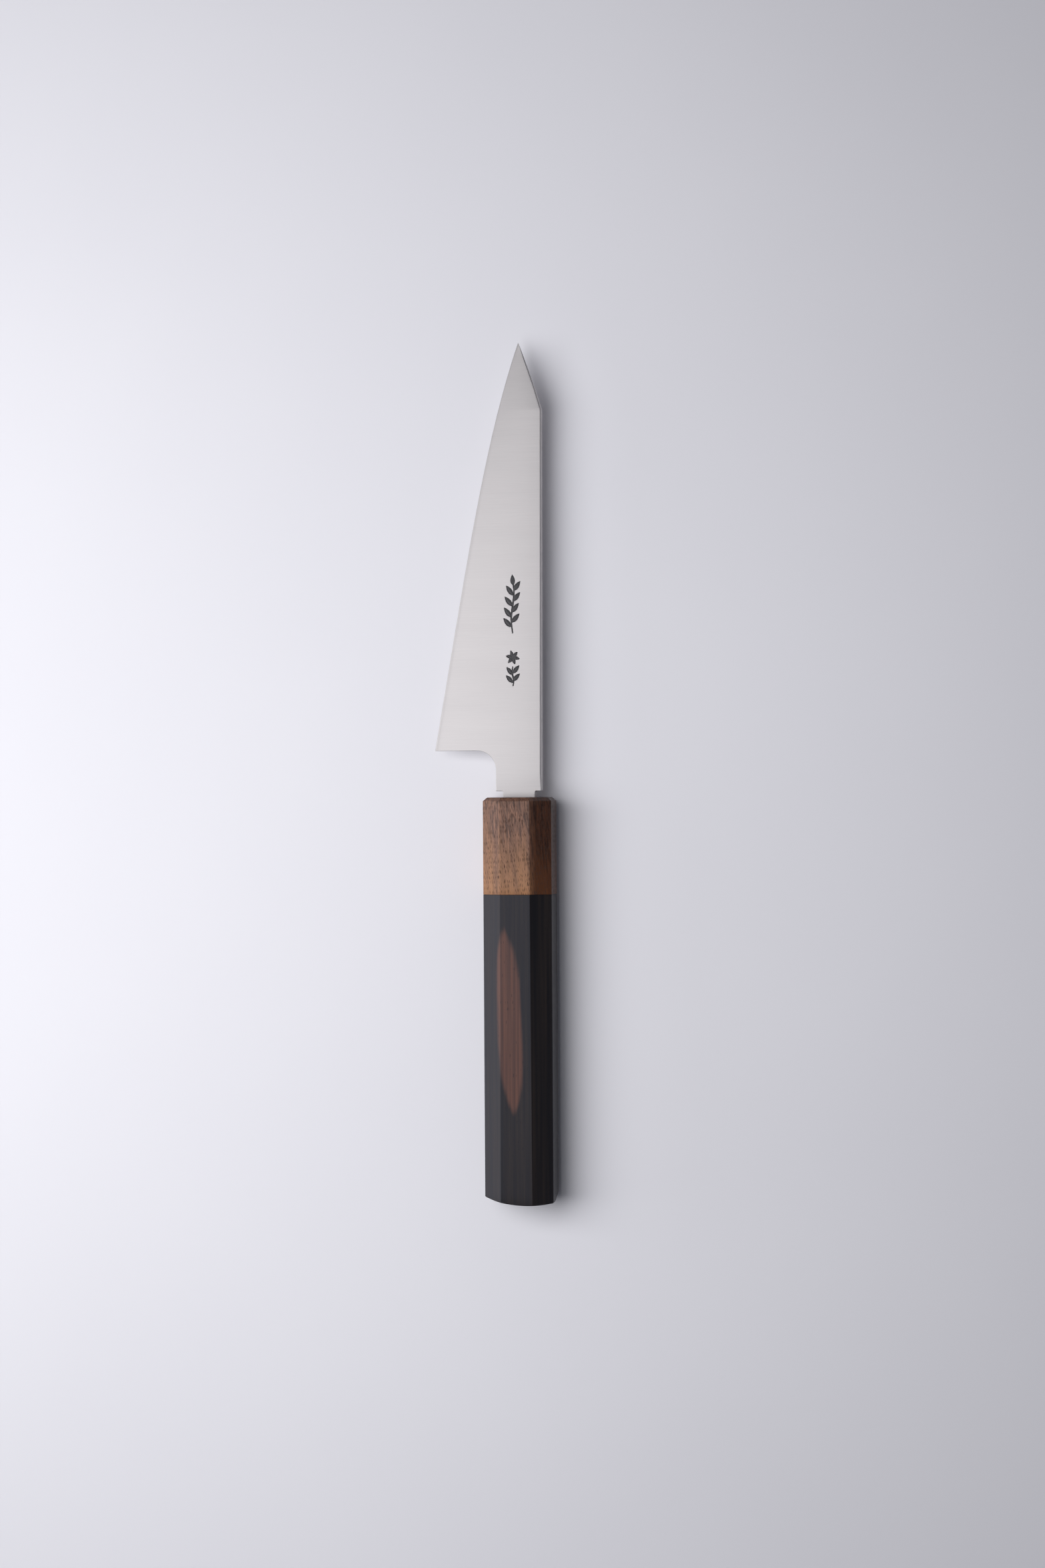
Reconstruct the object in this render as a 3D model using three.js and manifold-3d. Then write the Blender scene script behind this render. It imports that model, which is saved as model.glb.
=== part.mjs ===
// A boning knife with a fixed blade and an octagonal wooden handle, lying on its side.
// Millimetres. +X runs from the butt to the tip, +Y towards the cutting edge, +Z up.
// The origin lies on the handle body's lower flat facet, which is the face the knife rests on.
//
// Construction: the blade and its narrow tang are one piece of steel. The tang passes through a
// slot in the ferrule into a slotted wooden dowel, which joins the ferrule to the handle body.
// Cured resin fills the dowel's slot around the tang.

import * as THREE from 'three';
import { mergeVertices } from 'three/addons/utils/BufferGeometryUtils.js';
import Module from 'manifold-3d';

const wasm = await Module();
wasm.setup();

// ---- Driving dimensions ----

// Handle section: an octagon wider across the blade's plane than through it
const HANDLE_WIDTH = 25;
const HANDLE_THICKNESS = 20;
const BROAD_FACET_WIDTH = 11.2;
const NARROW_FACET_HEIGHT = 10.2;
const AXIS_Z = HANDLE_THICKNESS / 2;

// Handle lengths
const JOINT_X = 55;
const FERRULE_LENGTH = 34.8;
const FERRULE_CHAMFER = 1.4;
const BUTT_X = -56.35;
const BUTT_DOME_RADIUS = 46;
const BUTT_CROWN_Y = -3.8;
const BUTT_CROWN_Z = 16;

// Blade outline
const TIP_X = 253.3;
const BACK_CORNER_X = 229;
const HEEL_X = 106.65;
const SHOULDER_X = 92.1;
const NECK_EDGE_Y = 8.35;
const CHOIL_RADIUS = 7;
const SPINE_Y_AT_SHOULDER = -8.25;
const SPINE_Y_AT_CORNER = -8.95;
const BACK_BULGE = 0.3;

// Cutting edge: straight from the heel, with a belly that grows towards the tip
const HEEL_Y = 30.94;
const EDGE_FALL = 25.95;
const BELLY_FALL = 5.49;
const BELLY_POWER = 4.76;

// Blade thickness: full at the neck, thinner towards the tip, ground down to the edge
const SPINE_THICKNESS = 4;
const CORNER_THICKNESS = 2.75;
const TIP_THICKNESS = 0.35;
const EDGE_THICKNESS = 0.3;
const GRIND_POWER = 1.5;

// Tang
const TANG_LENGTH = 84;
const TANG_THICKNESS = 3;
const TANG_EDGE_Y = 5.7;
const TANG_SPINE_Y = -6;
const TANG_END_WIDTH = 6;

// Dowel and resin inside the handle
const DOWEL_DIAMETER = 14;
const DOWEL_LENGTH = 88;
const DOWEL_SOLID_END = 10;
const DOWEL_SLOT = 5.2;
const FERRULE_WALL = 8;
const RESIN_WIDTH = 12.6;
const FIT_GAP = 0.3;
const GLUE_LINE = 0.05;

// Facets on round faces
const ROUND_SEGMENTS = 48;
const EDGE_STEPS = 30;
const BLANK_STEPS_TO_HEEL = 4;
const BLANK_STEPS_ACROSS = 12;

// The ground blank's size past the outline, as a share of the blade's width
const BLANK_MARGIN = 0.08;
const BLANK_LEAST_WIDTH = 4;

const FERRULE_X = JOINT_X + FERRULE_LENGTH;
const TANG_END_X = FERRULE_X - TANG_LENGTH;

// ---- Materials ----

const materials = {
  steel: new THREE.MeshStandardMaterial({ color: 0xc9c8c7, roughness: 0.35, metalness: 1 }),
  walnut: new THREE.MeshStandardMaterial({ color: 0x7d5f51, roughness: 0.55, metalness: 0 }),
  ebony: new THREE.MeshStandardMaterial({ color: 0x2c292b, roughness: 0.4, metalness: 0 }),
  dowelWood: new THREE.MeshStandardMaterial({ color: 0xb99a6c, roughness: 0.7, metalness: 0 }),
  resin: new THREE.MeshStandardMaterial({ color: 0x3a322a, roughness: 0.3, metalness: 0 }),
};

// ---- Solids from three.js geometry ----

// Turns a closed geometry into a solid that can be joined and cut.
function toSolid(geometry) {
  const bare = geometry.clone();
  for (const name of ['normal', 'uv']) bare.deleteAttribute(name);
  const merged = mergeVertices(bare, 1e-4);
  return new wasm.Manifold(new wasm.Mesh({
    numProp: 3,
    vertProperties: new Float32Array(merged.attributes.position.array),
    triVerts: new Uint32Array(merged.index.array),
  }));
}

// Turns a finished solid into a named mesh.
function toMesh(name, solid, material) {
  const { numProp, vertProperties, triVerts } = solid.getMesh();
  const position = new THREE.BufferAttribute(new Float32Array(vertProperties), numProp);
  const geometry = new THREE.BufferGeometry();
  geometry.setAttribute('position', position);
  geometry.setIndex(new THREE.BufferAttribute(new Uint32Array(triVerts), 1));
  geometry.computeVertexNormals();
  const mesh = new THREE.Mesh(geometry, material);
  mesh.name = name;
  return mesh;
}

// A box between two corners.
function boxBetween(low, high) {
  const size = new THREE.Vector3().subVectors(high, low);
  const centre = new THREE.Vector3().addVectors(low, high).multiplyScalar(0.5);
  const geometry = new THREE.BoxGeometry(size.x, size.y, size.z);
  geometry.translate(centre.x, centre.y, centre.z);
  return toSolid(geometry);
}

// A plate cut to an outline in the blade's plane, centred on the handle's axis.
function plate(outline, thickness) {
  const geometry = new THREE.ExtrudeGeometry(outline, {
    depth: thickness,
    bevelEnabled: false,
    curveSegments: ROUND_SEGMENTS / 4,
  });
  geometry.translate(0, 0, AXIS_Z - thickness / 2);
  return toSolid(geometry);
}

// A round bar on the handle's axis.
function barOnAxis(fromX, toX, diameter) {
  const radius = diameter / 2;
  const geometry = new THREE.CylinderGeometry(radius, radius, toX - fromX, ROUND_SEGMENTS);
  geometry.rotateZ(-Math.PI / 2);
  geometry.translate((fromX + toX) / 2, 0, AXIS_Z);
  return toSolid(geometry);
}

// ---- Blade ----

// Height of the cutting edge above the handle's axis in the blade's plane.
function edgeY(x) {
  const along = THREE.MathUtils.clamp((x - HEEL_X) / (TIP_X - HEEL_X), 0, 1);
  return HEEL_Y - EDGE_FALL * along - BELLY_FALL * along ** BELLY_POWER;
}

// The spine up to the corner, then the slanted back down to the tip.
function backY(x) {
  if (x <= BACK_CORNER_X) {
    const along = (x - SHOULDER_X) / (BACK_CORNER_X - SHOULDER_X);
    return THREE.MathUtils.lerp(SPINE_Y_AT_SHOULDER, SPINE_Y_AT_CORNER, along);
  }
  const along = Math.min((x - BACK_CORNER_X) / (TIP_X - BACK_CORNER_X), 1);
  const chord = THREE.MathUtils.lerp(SPINE_Y_AT_CORNER, edgeY(TIP_X), along);
  return chord - 4 * BACK_BULGE * along * (1 - along);
}

// Thickness along the spine and the slanted back.
function backThickness(x) {
  if (x <= BACK_CORNER_X) {
    const along = THREE.MathUtils.clamp((x - HEEL_X) / (BACK_CORNER_X - HEEL_X), 0, 1);
    return THREE.MathUtils.lerp(SPINE_THICKNESS, CORNER_THICKNESS, along);
  }
  const along = Math.min((x - BACK_CORNER_X) / (TIP_X - BACK_CORNER_X), 1);
  return THREE.MathUtils.lerp(CORNER_THICKNESS, TIP_THICKNESS, along);
}

// The grind is flat at the back and steepens evenly towards the cutting edge.
function bladeThickness(x, y) {
  const width = Math.max(edgeY(x) - backY(x), 1);
  const fromEdge = THREE.MathUtils.clamp((edgeY(x) - y) / width, 0, 1);
  const grind = 1 - (1 - fromEdge) ** GRIND_POWER;
  return Math.max(backThickness(x) * grind, EDGE_THICKNESS);
}

// A bar of steel ground to the blade's thickness, before its outline is cut. Its rows of points
// run beside the spine and the edge, and its columns fall midway between the edge's points.
function groundBlank() {
  const step = (TIP_X - HEEL_X) / EDGE_STEPS;
  const lowX = HEEL_X - (BLANK_STEPS_TO_HEEL - 0.5) * step;
  const length = (EDGE_STEPS + BLANK_STEPS_TO_HEEL) * step;
  const geometry = new THREE.BoxGeometry(
    length, 1, 1, EDGE_STEPS + BLANK_STEPS_TO_HEEL, BLANK_STEPS_ACROSS, 1);
  const position = geometry.attributes.position;
  for (let i = 0; i < position.count; i += 1) {
    const x = lowX + length / 2 + position.getX(i);
    const width = Math.max(edgeY(x) - backY(x), BLANK_LEAST_WIDTH);
    const across = 0.5 + (1 + 2 * BLANK_MARGIN) * position.getY(i);
    const y = backY(x) + across * width;
    position.setXYZ(i, x, y, AXIS_Z + position.getZ(i) * bladeThickness(x, y));
  }
  return toSolid(geometry);
}

// The blade's outline from the shoulder round the choil, along the edge and back by the spine.
function bladeOutline() {
  const outline = new THREE.Shape();
  const choilX = HEEL_X - CHOIL_RADIUS;
  const choilY = NECK_EDGE_Y + CHOIL_RADIUS;
  outline.moveTo(SHOULDER_X, NECK_EDGE_Y);
  outline.absarc(choilX, choilY, CHOIL_RADIUS, -Math.PI / 2, 0, false);
  for (let i = 0; i <= EDGE_STEPS; i += 1) {
    const x = THREE.MathUtils.lerp(HEEL_X, TIP_X, i / EDGE_STEPS);
    outline.lineTo(x, edgeY(x));
  }
  const backMiddleX = (TIP_X + BACK_CORNER_X) / 2;
  outline.lineTo(backMiddleX, backY(backMiddleX));
  outline.lineTo(BACK_CORNER_X, SPINE_Y_AT_CORNER);
  outline.lineTo(SHOULDER_X, SPINE_Y_AT_SHOULDER);
  outline.closePath();
  return outline;
}

// The tang's outline, widened by a gap, from a start inside the neck to its rounded end.
function tangOutline(startX, gap) {
  const endRadius = TANG_END_WIDTH / 2 + gap;
  const outline = new THREE.Shape();
  outline.moveTo(startX, TANG_EDGE_Y + gap);
  outline.lineTo(FERRULE_X, TANG_EDGE_Y + gap);
  outline.absarc(TANG_END_X + TANG_END_WIDTH / 2, 0, endRadius, Math.PI / 2, 1.5 * Math.PI, false);
  outline.lineTo(FERRULE_X, TANG_SPINE_Y - gap);
  outline.lineTo(startX, TANG_SPINE_Y - gap);
  outline.closePath();
  return outline;
}

function makeBlade() {
  const overlap = 4;
  const ground = groundBlank().intersect(plate(bladeOutline(), 2 * SPINE_THICKNESS));
  const tang = plate(tangOutline(SHOULDER_X + overlap, 0), TANG_THICKNESS);
  return toMesh('blade', ground.add(tang), materials.steel);
}

// ---- Handle ----

// The eight corners of the handle's section, with every facet moved in by an inset.
function octagon(inset) {
  const halfWidth = HANDLE_WIDTH / 2;
  const halfThickness = HANDLE_THICKNESS / 2;
  const broad = BROAD_FACET_WIDTH / 2;
  const narrow = NARROW_FACET_HEIGHT / 2;
  const slope = new THREE.Vector2(halfThickness - narrow, halfWidth - broad).normalize();
  const y = broad - inset * (1 - slope.y) / slope.x;
  const z = narrow - inset * (1 - slope.x) / slope.y;
  const upperRight = [[halfWidth - inset, z], [y, halfThickness - inset]];
  const upperLeft = upperRight.map(([a, b]) => [-a, b]).reverse();
  const lower = [...upperRight, ...upperLeft].map(([a, b]) => [-a, -b]);
  return [...upperRight, ...upperLeft, ...lower].map(([a, b]) => new THREE.Vector2(a, b));
}

// An octagonal length of handle between two sections.
function octagonalLength(fromX, toX, fromCorners, toCorners) {
  const length = toX - fromX;
  const geometry = new THREE.ExtrudeGeometry(new THREE.Shape(fromCorners), {
    depth: length,
    bevelEnabled: false,
  });
  const position = geometry.attributes.position;
  const vertex = new THREE.Vector3();
  for (let i = 0; i < position.count; i += 1) {
    vertex.fromBufferAttribute(position, i);
    if (vertex.z < length / 2) continue;
    const corner = fromCorners.findIndex((p) => Math.hypot(p.x - vertex.x, p.y - vertex.y) < 1e-3);
    position.setXY(i, toCorners[corner].x, toCorners[corner].y);
  }
  const lengthwise = new THREE.Matrix4().makeBasis(
    new THREE.Vector3(0, 1, 0), new THREE.Vector3(0, 0, 1), new THREE.Vector3(1, 0, 0));
  geometry.applyMatrix4(lengthwise);
  geometry.translate(fromX, 0, AXIS_Z);
  return toSolid(geometry);
}

function makeFerrule() {
  const chamferX = FERRULE_X - FERRULE_CHAMFER;
  const full = octagon(0);
  const slotHeight = TANG_THICKNESS + 2 * FIT_GAP;
  const boreEndX = FERRULE_X - FERRULE_WALL;
  const slotMargin = 5;
  const slot = plate(tangOutline(FERRULE_X + slotMargin, FIT_GAP), slotHeight);
  const solid = octagonalLength(JOINT_X, chamferX, full, full)
    .add(octagonalLength(chamferX, FERRULE_X, full, octagon(FERRULE_CHAMFER)))
    .subtract(slot)
    .subtract(barOnAxis(JOINT_X - 1, boreEndX, DOWEL_DIAMETER + 2 * FIT_GAP));
  return toMesh('ferrule', solid, materials.walnut);
}

// A long bar on X whose rear end is a shallow dome.
function domedBar() {
  const barRadius = 30;
  const rimAngle = Math.asin(barRadius / BUTT_DOME_RADIUS);
  const capSteps = 20;
  const profile = [];
  for (let i = 0; i <= capSteps; i += 1) {
    const angle = rimAngle * i / capSteps;
    const radius = i === 0 ? 0 : BUTT_DOME_RADIUS * Math.sin(angle);
    profile.push(new THREE.Vector2(radius, BUTT_DOME_RADIUS * (1 - Math.cos(angle))));
  }
  const frontX = JOINT_X - BUTT_X + 1;
  profile.push(new THREE.Vector2(barRadius, frontX), new THREE.Vector2(0, frontX));
  const geometry = new THREE.LatheGeometry(profile, ROUND_SEGMENTS);
  geometry.rotateZ(-Math.PI / 2);
  geometry.translate(BUTT_X, BUTT_CROWN_Y, BUTT_CROWN_Z);
  return toSolid(geometry);
}

function makeHandleBody() {
  const frontX = JOINT_X - GLUE_LINE;
  const full = octagon(0);
  const boreEndX = FERRULE_X - FERRULE_WALL - DOWEL_LENGTH - 2 * FIT_GAP;
  const solid = octagonalLength(BUTT_X - 1, frontX, full, full)
    .intersect(domedBar())
    .subtract(barOnAxis(boreEndX, JOINT_X + 1, DOWEL_DIAMETER + 2 * FIT_GAP));
  return toMesh('handle_body', solid, materials.ebony);
}

function makeDowel() {
  const frontX = FERRULE_X - FERRULE_WALL - FIT_GAP;
  const rearX = frontX - DOWEL_LENGTH;
  const halfSlot = DOWEL_SLOT / 2;
  const slot = boxBetween(
    new THREE.Vector3(rearX + DOWEL_SOLID_END, -DOWEL_DIAMETER, AXIS_Z - halfSlot),
    new THREE.Vector3(frontX + 1, DOWEL_DIAMETER, AXIS_Z + halfSlot));
  return toMesh('dowel', barOnAxis(rearX, frontX, DOWEL_DIAMETER).subtract(slot), materials.dowelWood);
}

function makeTangResin() {
  const frontX = FERRULE_X - FERRULE_WALL - FIT_GAP;
  const rearX = frontX - DOWEL_LENGTH + DOWEL_SOLID_END + FIT_GAP;
  const halfHeight = DOWEL_SLOT / 2 - FIT_GAP;
  const block = boxBetween(
    new THREE.Vector3(rearX, -RESIN_WIDTH / 2, AXIS_Z - halfHeight),
    new THREE.Vector3(frontX, RESIN_WIDTH / 2, AXIS_Z + halfHeight));
  const pocketMargin = 5;
  const pocket = plate(tangOutline(FERRULE_X + pocketMargin, FIT_GAP), TANG_THICKNESS + 2 * FIT_GAP);
  return toMesh('tang_resin', block.subtract(pocket), materials.resin);
}

// ---- Knife ----

const knife = new THREE.Group();
knife.add(makeBlade(), makeFerrule(), makeHandleBody(), makeDowel(), makeTangResin());

export default knife;
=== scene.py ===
import bpy
import numpy as np
from mathutils import Matrix, Vector


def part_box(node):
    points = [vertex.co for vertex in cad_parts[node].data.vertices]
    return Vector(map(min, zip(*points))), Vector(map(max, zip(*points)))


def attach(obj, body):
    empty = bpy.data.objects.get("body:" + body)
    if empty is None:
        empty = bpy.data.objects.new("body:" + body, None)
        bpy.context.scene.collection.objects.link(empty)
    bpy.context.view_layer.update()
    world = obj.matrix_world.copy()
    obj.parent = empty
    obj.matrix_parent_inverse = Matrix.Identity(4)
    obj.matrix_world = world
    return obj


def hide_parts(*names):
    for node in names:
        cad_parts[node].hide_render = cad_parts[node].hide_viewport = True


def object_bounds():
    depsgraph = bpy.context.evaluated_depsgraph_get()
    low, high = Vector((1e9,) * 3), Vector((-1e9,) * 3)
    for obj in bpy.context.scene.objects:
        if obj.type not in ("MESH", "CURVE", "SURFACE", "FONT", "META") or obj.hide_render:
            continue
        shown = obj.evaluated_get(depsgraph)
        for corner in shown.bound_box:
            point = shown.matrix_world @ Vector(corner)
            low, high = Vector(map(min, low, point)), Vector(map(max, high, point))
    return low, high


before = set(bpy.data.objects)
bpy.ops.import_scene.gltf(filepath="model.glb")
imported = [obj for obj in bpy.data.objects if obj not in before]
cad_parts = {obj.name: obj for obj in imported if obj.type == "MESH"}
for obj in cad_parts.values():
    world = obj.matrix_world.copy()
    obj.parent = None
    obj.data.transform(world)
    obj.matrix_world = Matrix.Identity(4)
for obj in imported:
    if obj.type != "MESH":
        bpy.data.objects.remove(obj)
cad_low, cad_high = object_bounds()

# ---- Camera ----
# Looks down on the knife from nearly overhead, leaning a little to the spine's side, and from
# far enough away that there is hardly any perspective. The butt-to-tip direction is up.

MM = 0.001
CAMERA_DISTANCE = 1500 * MM
CAMERA_LEAN = np.radians(11.14)
CAMERA_ROLL = -0.00625
VIEW_LENGTH = 563.8 * MM
SENSOR_LENGTH = 36
AIM_BEHIND_MIDDLE = 3.9 * MM
AIM_TO_SPINE = 1.1 * MM

camera_data = bpy.data.cameras.new("camera")
camera_data.sensor_width = SENSOR_LENGTH
camera_data.lens = SENSOR_LENGTH * CAMERA_DISTANCE / VIEW_LENGTH
camera = bpy.data.objects.new("camera", camera_data)
bpy.context.scene.collection.objects.link(camera)

middle_x = (cad_low.x + cad_high.x) / 2
aim = Vector((middle_x - AIM_BEHIND_MIDDLE, -AIM_TO_SPINE, cad_high.z / 2))
camera_back = Vector((0, -np.sin(CAMERA_LEAN), np.cos(CAMERA_LEAN)))
level_right = Vector((0, -np.cos(CAMERA_LEAN), -np.sin(CAMERA_LEAN)))
along_knife = Vector((1, 0, 0))
camera_right = level_right * np.cos(CAMERA_ROLL) + along_knife * np.sin(CAMERA_ROLL)
camera_up = along_knife * np.cos(CAMERA_ROLL) - level_right * np.sin(CAMERA_ROLL)
turned = Matrix((camera_right, camera_up, camera_back)).transposed().to_4x4()
camera.matrix_world = Matrix.Translation(aim + camera_back * CAMERA_DISTANCE) @ turned
bpy.context.scene.camera = camera
bpy.context.scene.view_settings.view_transform = "Standard"

# ---- Floor ----
# A plain slab of pale stone, faintly cloudy and a little bluish. The knife rests on it, and it is
# large enough to fill every view.

FLOOR_HALF_WIDTH = 3.0
FLOOR_DROP = 0.05 * MM

floor_corners = np.array([[-1, -1], [1, -1], [1, 1], [-1, 1]]) * FLOOR_HALF_WIDTH
floor_points = np.column_stack([floor_corners, np.full(4, -FLOOR_DROP)])
floor_mesh = bpy.data.meshes.new("floor")
floor_mesh.from_pydata(floor_points.tolist(), [], [[0, 1, 2, 3]])
floor = bpy.data.objects.new("floor", floor_mesh)
bpy.context.scene.collection.objects.link(floor)

floor_material = bpy.data.materials.new("pale_floor")
floor_material.use_nodes = True
nodes = floor_material.node_tree.nodes
links = floor_material.node_tree.links
nodes.clear()

output = nodes.new("ShaderNodeOutputMaterial")
output.label = "floor surface"
output.location = (600, 0)
shader = nodes.new("ShaderNodeBsdfPrincipled")
shader.label = "smooth pale stone"
shader.location = (300, 0)
shader.inputs["Roughness"].default_value = 0.55
shader.inputs["Specular IOR Level"].default_value = 0.25
place = nodes.new("ShaderNodeTexCoord")
place.label = "place on the floor"
place.location = (-600, 0)
clouds = nodes.new("ShaderNodeTexNoise")
clouds.label = "faint cloudiness of the stone"
clouds.location = (-350, 0)
clouds.inputs["Scale"].default_value = 9
clouds.inputs["Detail"].default_value = 3
tone = nodes.new("ShaderNodeMix")
tone.label = "pale tones of the stone"
tone.location = (0, 0)
tone.data_type = "RGBA"
tone.inputs["A"].default_value = (0.810, 0.802, 0.832, 1)
tone.inputs["B"].default_value = (0.845, 0.837, 0.862, 1)
links.new(place.outputs["Object"], clouds.inputs["Vector"])
links.new(clouds.outputs["Fac"], tone.inputs["Factor"])
links.new(tone.outputs["Result"], shader.inputs["Base Color"])
links.new(shader.outputs["BSDF"], output.inputs["Surface"])
floor_mesh.materials.append(floor_material)

# ---- Light ----
# Two soft panels overhead on the cutting edge's side, of which the steel mirrors only one, a low
# one far out on the same side that the handle's facets mirror, and a dim bluish room round them.

world = bpy.data.worlds.new("dim_room")
world.use_nodes = True
nodes = world.node_tree.nodes
links = world.node_tree.links
nodes.clear()

output = nodes.new("ShaderNodeOutputWorld")
output.label = "room"
output.location = (500, 0)
walls = nodes.new("ShaderNodeBackground")
walls.label = "bluish walls"
walls.location = (250, 0)
walls.inputs["Color"].default_value = (0.84, 0.87, 1.0, 1)
direction = nodes.new("ShaderNodeTexCoord")
direction.label = "direction into the room"
direction.location = (-500, 0)
split = nodes.new("ShaderNodeSeparateXYZ")
split.label = "height above the horizon"
split.location = (-250, 0)
level = nodes.new("ShaderNodeMapRange")
level.label = "walls lit low down, dark ceiling"
level.location = (0, 0)
level.interpolation_type = "SMOOTHSTEP"
level.inputs["From Min"].default_value = 0.16
level.inputs["From Max"].default_value = 0.40
level.inputs["To Min"].default_value = 0.36
level.inputs["To Max"].default_value = 0.10
links.new(direction.outputs["Generated"], split.inputs["Vector"])
links.new(split.outputs["Z"], level.inputs["Value"])
links.new(level.outputs["Result"], walls.inputs["Strength"])
links.new(walls.outputs["Background"], output.inputs["Surface"])
bpy.context.scene.world = world


def soft_panel(name, middle, tilt_degrees, length, width, strength, mirrored=True):
    """A rectangular light, its length along the knife, turned from facing straight down by
    tilt_degrees so that it faces back towards the knife. Its power is strength times pi times
    its area, which makes it look equally bright at any size. Where it isn't to be mirrored in
    polished surfaces, it lights only by diffuse reflection."""
    light_data = bpy.data.lights.new(name, "AREA")
    light_data.shape = "RECTANGLE"
    light_data.size = length
    light_data.size_y = width
    light_data.energy = strength * np.pi * length * width
    light_data.color = (0.97, 0.97, 1.0)
    light = bpy.data.objects.new(name, light_data)
    turn = Matrix.Rotation(-np.radians(tilt_degrees), 4, "X")
    light.matrix_world = Matrix.Translation(middle) @ turn
    light.visible_glossy = mirrored
    bpy.context.scene.collection.objects.link(light)


soft_panel("panel_overhead", middle=(0.115, 0.49, 0.585), tilt_degrees=10,
           length=0.45, width=0.90, strength=1.85)
soft_panel("panel_overhead_fill", middle=(0.08, 0.385, 0.604), tilt_degrees=10,
           length=0.50, width=0.90, strength=2.58, mirrored=False)
soft_panel("panel_low_at_the_side", middle=(0.12, 1.25, 0.22), tilt_degrees=80,
           length=0.90, width=0.44, strength=2.0)

# ---- Blade ----
# One flat bar of stainless steel, ground thinner from spine to edge and from neck to tip, with
# its outline cut, the spine eased and the edge honed. The tang runs on into the handle.

# Outline, as the solid model has it
blade_low, blade_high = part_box("blade")
TIP_X = blade_high.x / MM
TANG_END_X = blade_low.x / MM
FERRULE_FRONT_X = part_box("ferrule")[1].x / MM
AXIS_Z = cad_high.z / 2 / MM
HEEL_X = 106.65
BACK_CORNER_X = 229.0
SHOULDER_X = 92.1
HEEL_Y = 30.94
EDGE_FALL = 25.95
BELLY_FALL = 5.49
BELLY_POWER = 4.76
SPINE_Y_AT_SHOULDER = -8.25
SPINE_Y_AT_CORNER = -8.95
BACK_BULGE = 0.3
BACK_CORNER_RADIUS = 2.4
NECK_EDGE_Y = 8.35
CHOIL_RADIUS = 7.0
CHOIL_START_X = HEEL_X - CHOIL_RADIUS
SHOULDER_FILLET = 0.5
SHOULDER_ROUND = 0.2
TANG_EDGE_Y = 5.7
TANG_SPINE_Y = -6.0
TANG_END_RADIUS = 3.0

# Where some of the cross lines that sweep the blade begin or end
HEEL_LINE_SPINE_X = HEEL_X + 14
BEFORE_CORNER_X = BACK_CORNER_X - 4
BEFORE_TIP_X = TIP_X - 1.2
LAST_STEPS_TO_TIP = np.array([0.8, 0.5, 0.28, 0.12, 0.0])
SHOULDER_BOW = 4

# Thickness
SPINE_THICKNESS = 4.0
CORNER_THICKNESS = 2.75
TIP_THICKNESS = 0.3
TANG_THICKNESS = 3.2
BEHIND_EDGE_THICKNESS = 0.16
EDGE_HALF_THICKNESS = 0.012
HONED_SLOPE = 0.28
GRIND_POWER = 1.5
NARROWEST_GROUND = 0.3

# Radii of the eased arrises
TANG_ARRIS = 0.1
NECK_ARRIS = 0.15
EDGE_SIDE_ARRIS = 0.12
SPINE_ARRIS = 0.32
ARRIS_FADES_BEFORE_TIP = 6

# Engraved sprig on the upper side: a long leafed stem, and behind it a flower on a short one
ENGRAVED_FROM_X = 128.5
ENGRAVED_TO_X = 170.5
ENGRAVED_FROM_Y = -2.4
ENGRAVED_TO_Y = 6.0
ENGRAVED_DEPTH = 0.14
ROWS_GATHER_X = (108, 127)
ROWS_PART_X = (172, 196)
ROWS_CLOSE_UP_BELOW_WIDTH = 12
STEM_Y = 1.8
LONG_STEM_X = (148.8, 168.4)
SHORT_STEM_X = (129.8, 136.8)
FLOWER_X = 140.1
CUT_RIM = (-0.06, 0.10)
LEAF_MIDDLE = (0.22, 0.55)
LEAF_MIDDLE_SHALLOWER = 0.45
LONG_STEM_LEAVES = ((151.0, 2.3, 42), (154.6, 2.3, 38), (158.6, 1.9, 40), (162.4, 1.6, 36))
SHORT_STEM_LEAVES = ((131.0, 44), (133.8, 40))
PETAL_TURNS = (0, 60, 120, 180, 240, 300)


def x_ramp(x, start, end):
    """0 before start and 1 after end, easing between them as a cubic."""
    along = np.clip((x - start) / (end - start), 0, 1)
    return along * along * (3 - 2 * along)


def edge_y(x):
    """The cutting edge: a straight fall from the heel plus a belly that grows as a power of x."""
    along = np.clip((x - HEEL_X) / (TIP_X - HEEL_X), 0, 1)
    return HEEL_Y - EDGE_FALL * along - BELLY_FALL * along**BELLY_POWER


def back_y(x):
    """The straight spine up to the corner, then the chord down to the tip with a slight bulge."""
    on_spine = (x - SHOULDER_X) / (BACK_CORNER_X - SHOULDER_X)
    spine = SPINE_Y_AT_SHOULDER + (SPINE_Y_AT_CORNER - SPINE_Y_AT_SHOULDER) * on_spine
    on_back = np.clip((x - BACK_CORNER_X) / (TIP_X - BACK_CORNER_X), 0, 1)
    chord = SPINE_Y_AT_CORNER + (edge_y(TIP_X) - SPINE_Y_AT_CORNER) * on_back
    return np.where(x < BACK_CORNER_X, spine, chord - 4 * BACK_BULGE * on_back * (1 - on_back))


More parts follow.
